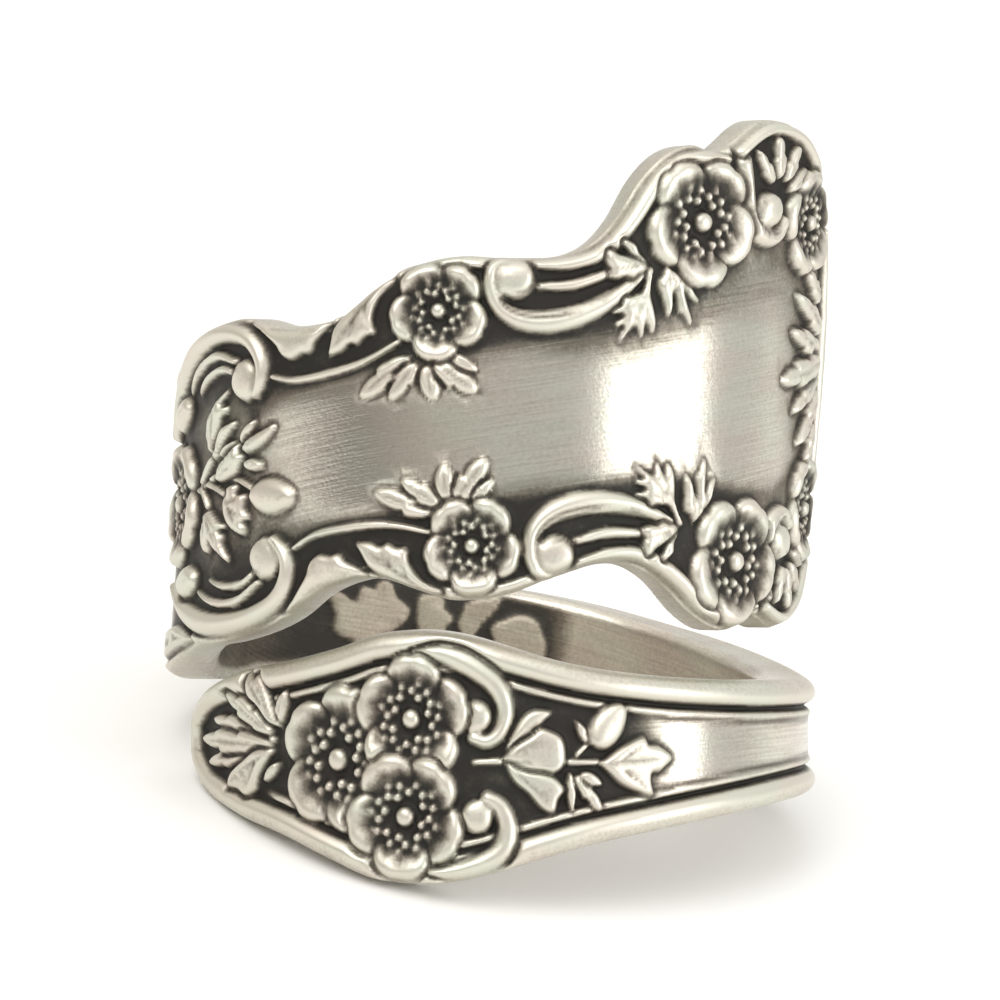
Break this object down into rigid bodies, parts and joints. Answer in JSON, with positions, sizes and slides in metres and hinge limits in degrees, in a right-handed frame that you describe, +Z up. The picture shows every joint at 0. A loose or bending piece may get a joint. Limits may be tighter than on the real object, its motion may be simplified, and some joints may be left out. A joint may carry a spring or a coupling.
{
  "type": "spoon ring",
  "caption": "Wrap ring bent from one ornate silver flatware handle: a narrow floral band below, a wide floral panel above, open through the finger hole.",
  "frame": {"origin": "middle of the underside of the ring's box, on the surface the ring rests on", "axes": "+Z up, the ring lying on its lower edge with the finger hole leaning back, -Y towards the front where the floral panel shows, +X to the right"},
  "size_m": [0.0222, 0.0216, 0.0235],
  "materials": {
    "silver": "antique silver, satin on the high places and darkened in the recesses"
  },
  "bodies": {
    "root": {"ring": "silver"}
  },
  "joints": []
}
